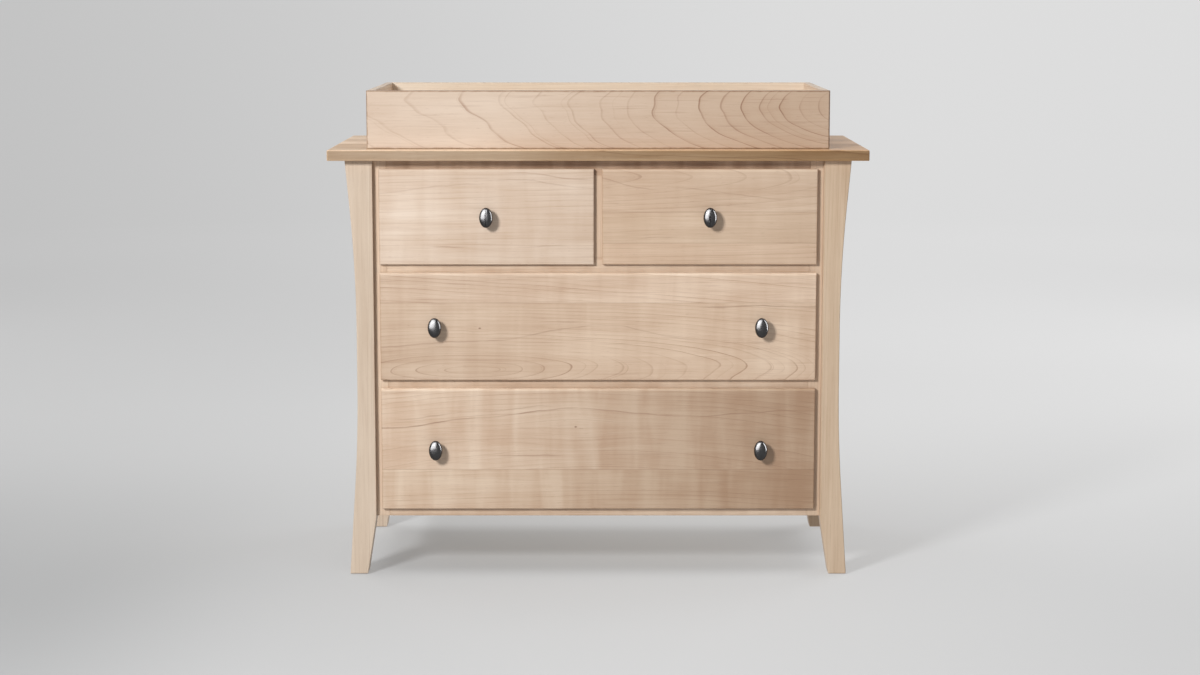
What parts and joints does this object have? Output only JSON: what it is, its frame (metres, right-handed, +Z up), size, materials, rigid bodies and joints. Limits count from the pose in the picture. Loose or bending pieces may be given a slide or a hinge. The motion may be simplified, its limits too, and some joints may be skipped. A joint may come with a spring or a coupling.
{
  "type": "changing table",
  "caption": "Maple dresser on curved legs with drawers on telescoping runners and an open changing tray on its top.",
  "frame": {"origin": "on the floor, at the middle of the width and of the whole depth", "axes": "+Z up, the drawers open towards -Y, and +X is to the right as seen from the front"},
  "size_m": [1.067, 0.516, 0.973],
  "materials": {
    "maple": "clear satin lacquer over natural maple",
    "maple_top": "clear satin lacquer over edge-glued maple",
    "maple_box": "clear satin lacquer over pale maple",
    "birch_ply": "unstained plywood, sealed",
    "beech": "bare wood",
    "dark_nickel": "polished dark nickel plate",
    "zinc_steel": "bright zinc plate",
    "nylon": "moulded"
  },
  "bodies": {
    "case": {"top": "maple_top", "leg_front_left": "maple", "leg_front_right": "maple", "leg_rear_left": "maple", "leg_rear_right": "maple", "side_panel_left": "maple", "side_panel_right": "maple", "stile_left": "maple", "stile_right": "maple", "centre_stile": "maple", "top_rail": "maple", "upper_rail": "maple", "lower_rail": "maple", "bottom_rail": "maple", "back_rails": "maple", "back_panel": "birch_ply", "centre_divider": "maple", "runner_packers": "beech", "cabinet_runners": "zinc_steel", "dowels": "beech", "wood_screws": "zinc_steel", "foot_glides": "nylon", "wall_bracket": "zinc_steel", "tray_front": "maple", "tray_back": "maple", "tray_left": "maple", "tray_right": "maple", "tray_plates": "zinc_steel"},
    "drawer_top_left": {"drawer_top_left_front": "maple", "drawer_top_left_side_left": "maple_box", "drawer_top_left_side_right": "maple_box", "drawer_top_left_back": "maple_box", "drawer_top_left_bottom": "birch_ply", "drawer_top_left_runners": "zinc_steel", "drawer_top_left_knob": "dark_nickel"},
    "drawer_top_left_telescoping_runners": {"drawer_top_left_telescoping_runners": "zinc_steel"},
    "drawer_top_right": {"drawer_top_right_front": "maple", "drawer_top_right_side_left": "maple_box", "drawer_top_right_side_right": "maple_box", "drawer_top_right_back": "maple_box", "drawer_top_right_bottom": "birch_ply", "drawer_top_right_runners": "zinc_steel", "drawer_top_right_knob": "dark_nickel"},
    "drawer_top_right_telescoping_runners": {"drawer_top_right_telescoping_runners": "zinc_steel"},
    "drawer_middle": {"drawer_middle_front": "maple", "drawer_middle_side_left": "maple_box", "drawer_middle_side_right": "maple_box", "drawer_middle_back": "maple_box", "drawer_middle_bottom": "birch_ply", "drawer_middle_runners": "zinc_steel", "drawer_middle_knobs": "dark_nickel"},
    "drawer_middle_telescoping_runners": {"drawer_middle_telescoping_runners": "zinc_steel"},
    "drawer_bottom": {"drawer_bottom_front": "maple", "drawer_bottom_side_left": "maple_box", "drawer_bottom_side_right": "maple_box", "drawer_bottom_back": "maple_box", "drawer_bottom_bottom": "birch_ply", "drawer_bottom_runners": "zinc_steel", "drawer_bottom_knobs": "dark_nickel"},
    "drawer_bottom_telescoping_runners": {"drawer_bottom_telescoping_runners": "zinc_steel"}
  },
  "joints": [
    {"name": "drawer_top_left_slide", "type": "slide", "parent": "case", "child": "drawer_top_left", "axis": [0, -1, 0], "range_m": [0, 0.38]},
    {"name": "drawer_top_left_telescoping_runners_slide", "type": "slide", "parent": "case", "child": "drawer_top_left_telescoping_runners", "axis": [0, -1, 0], "range_m": [0, 0.19]},
    {"name": "drawer_top_right_slide", "type": "slide", "parent": "case", "child": "drawer_top_right", "axis": [0, -1, 0], "range_m": [0, 0.38]},
    {"name": "drawer_top_right_telescoping_runners_slide", "type": "slide", "parent": "case", "child": "drawer_top_right_telescoping_runners", "axis": [0, -1, 0], "range_m": [0, 0.19]},
    {"name": "drawer_middle_slide", "type": "slide", "parent": "case", "child": "drawer_middle", "axis": [0, -1, 0], "range_m": [0, 0.38]},
    {"name": "drawer_middle_telescoping_runners_slide", "type": "slide", "parent": "case", "child": "drawer_middle_telescoping_runners", "axis": [0, -1, 0], "range_m": [0, 0.19]},
    {"name": "drawer_bottom_slide", "type": "slide", "parent": "case", "child": "drawer_bottom", "axis": [0, -1, 0], "range_m": [0, 0.38]},
    {"name": "drawer_bottom_telescoping_runners_slide", "type": "slide", "parent": "case", "child": "drawer_bottom_telescoping_runners", "axis": [0, -1, 0], "range_m": [0, 0.19]}
  ],
  "couplings": [
    {"joint": "drawer_top_left_telescoping_runners_slide", "follows": "drawer_top_left_slide", "ratio": 0.5},
    {"joint": "drawer_top_right_telescoping_runners_slide", "follows": "drawer_top_right_slide", "ratio": 0.5},
    {"joint": "drawer_middle_telescoping_runners_slide", "follows": "drawer_middle_slide", "ratio": 0.5},
    {"joint": "drawer_bottom_telescoping_runners_slide", "follows": "drawer_bottom_slide", "ratio": 0.5}
  ]
}
